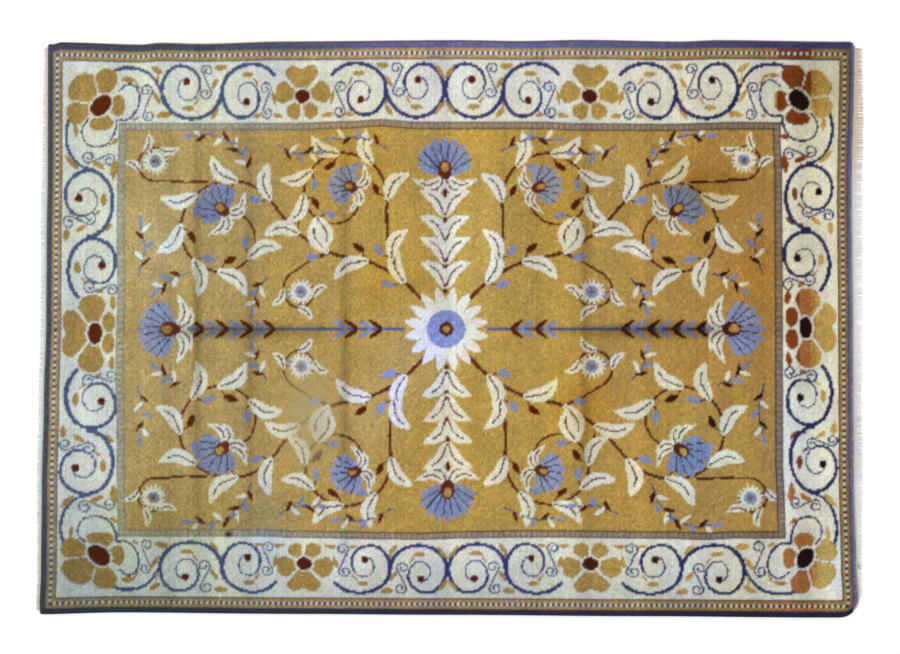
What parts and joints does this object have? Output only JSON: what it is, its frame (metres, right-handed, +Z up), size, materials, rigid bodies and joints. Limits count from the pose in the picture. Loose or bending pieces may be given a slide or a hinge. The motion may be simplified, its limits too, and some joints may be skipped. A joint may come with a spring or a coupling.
{
  "type": "donegal carpet",
  "caption": "Hand-knotted wool carpet lying flat, with an ochre field, a pale scroll border, dark overcast sides and a short pale fringe at both ends.",
  "frame": {"origin": "middle of the whole footprint, fringes included, on the underside", "axes": "+X along the long side towards the end with the longer fringe, +Y across towards the far side, +Z up out of the pile"},
  "size_m": [3.7318, 2.6036, 0.014],
  "materials": {
    "pile_wool": "matte knotted wool pile",
    "overcast_wool": "matte wrapped wool",
    "warp_yarn": "matte spun yarn"
  },
  "bodies": {
    "root": {"knotted_carpet": "pile_wool", "selvedge_far": "overcast_wool", "selvedge_near": "overcast_wool", "fringe_left": "warp_yarn", "fringe_right": "warp_yarn"}
  },
  "joints": []
}
